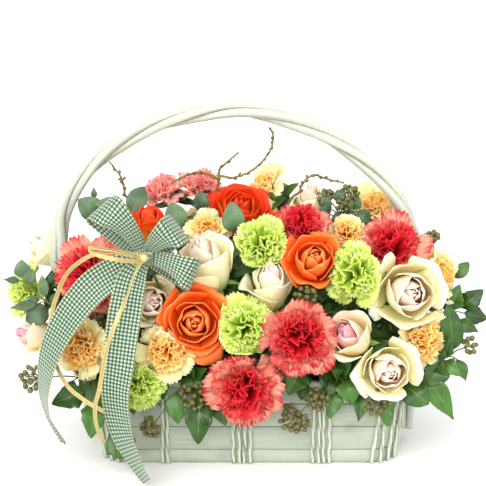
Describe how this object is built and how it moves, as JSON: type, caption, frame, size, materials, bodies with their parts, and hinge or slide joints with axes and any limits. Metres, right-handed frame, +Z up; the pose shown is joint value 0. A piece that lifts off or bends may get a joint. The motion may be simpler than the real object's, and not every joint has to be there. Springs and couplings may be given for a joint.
{
  "type": "flower basket arrangement",
  "caption": "Long painted chip basket with a tall twisted arch handle, filled with roses, carnations, ivy and twigs, with a check ribbon bow and trailing tails.",
  "frame": {"origin": "middle of the underside of the basket", "axes": "+X along the basket to the right of its front, +Z up; the front with the bow faces -Y"},
  "size_m": [0.5753, 0.3617, 0.418],
  "materials": {
    "basket_paint": "matt white-green painted chip wood",
    "handle_paint": "matt off-white painted willow",
    "tub_plastic": "dark matt plastic",
    "floral_foam": "wet phenolic floral foam, matt and open-celled",
    "gingham_ribbon": "woven green and white check with a slight sheen",
    "gold_braid": "metallic gold thread braid",
    "pick_wood": "green-stained wooden pick",
    "rose_orange": "fresh rose petals, satin",
    "rose_flame": "fresh rose petals, satin",
    "rose_cream": "fresh rose petals, satin",
    "rose_blush": "fresh rose petals, satin",
    "carnation_salmon": "fresh carnation petals, matt",
    "carnation_lime": "fresh carnation petals, matt",
    "carnation_peach": "fresh carnation petals, matt",
    "ivy_leaf": "fresh ivy leaf, semi-gloss",
    "eucalyptus_leaf": "fresh grey-green leaf, waxy",
    "willow_bark": "matt bark"
  },
  "bodies": {
    "root": {"basket_floor": "basket_paint", "basket_slat_1": "basket_paint", "basket_slat_2": "basket_paint", "basket_slat_3": "basket_paint", "basket_slat_4": "basket_paint", "basket_frame": "basket_paint", "water_liner": "tub_plastic", "flower_foam": "floral_foam", "handle_strand_1": "handle_paint", "handle_strand_2": "handle_paint", "handle_strand_3": "handle_paint", "bow_ribbon": "gingham_ribbon", "bow_gold_braid": "gold_braid", "bow_pick": "pick_wood", "rose_orange_open": "rose_orange", "rose_orange_cup": "rose_orange", "rose_flame_bud": "rose_flame", "rose_flame_open": "rose_flame", "rose_cream_tall": "rose_cream", "rose_cream_shaded": "rose_cream", "rose_cream_closed": "rose_cream", "rose_cream_large": "rose_cream", "rose_cream_low": "rose_cream", "rose_cream_top": "rose_cream", "rose_cream_left": "rose_cream", "rose_pink_tip": "rose_blush", "rose_pink_left": "rose_blush", "carnation_salmon_low": "carnation_salmon", "carnation_salmon_centre": "carnation_salmon", "carnation_salmon_upper": "carnation_salmon", "carnation_salmon_right": "carnation_salmon", "carnation_salmon_left": "carnation_salmon", "spray_salmon_top": "carnation_salmon", "spray_back_left": "carnation_salmon", "carnation_lime_upper": "carnation_lime", "carnation_lime_right": "carnation_lime", "carnation_lime_centre": "carnation_lime", "carnation_lime_low": "carnation_lime", "carnation_lime_left": "carnation_lime", "spray_back_right": "carnation_lime", "carnation_peach_left": "carnation_peach", "carnation_peach_front": "carnation_peach", "carnation_peach_right": "carnation_peach", "carnation_peach_shoulder": "carnation_peach", "carnation_peach_top": "carnation_peach", "carnation_peach_upper": "carnation_peach", "carnation_peach_bow": "carnation_peach", "carnation_peach_crest": "carnation_peach", "spray_back_centre": "carnation_peach", "ivy_left": "ivy_leaf", "ivy_front_left": "ivy_leaf", "ivy_front_right": "ivy_leaf", "ivy_right": "ivy_leaf", "ivy_end_right": "ivy_leaf", "ivy_back": "ivy_leaf", "eucalyptus_left": "eucalyptus_leaf", "eucalyptus_top": "eucalyptus_leaf", "eucalyptus_left_top": "eucalyptus_leaf", "eucalyptus_right": "eucalyptus_leaf", "willow_twigs": "willow_bark"}
  },
  "joints": []
}
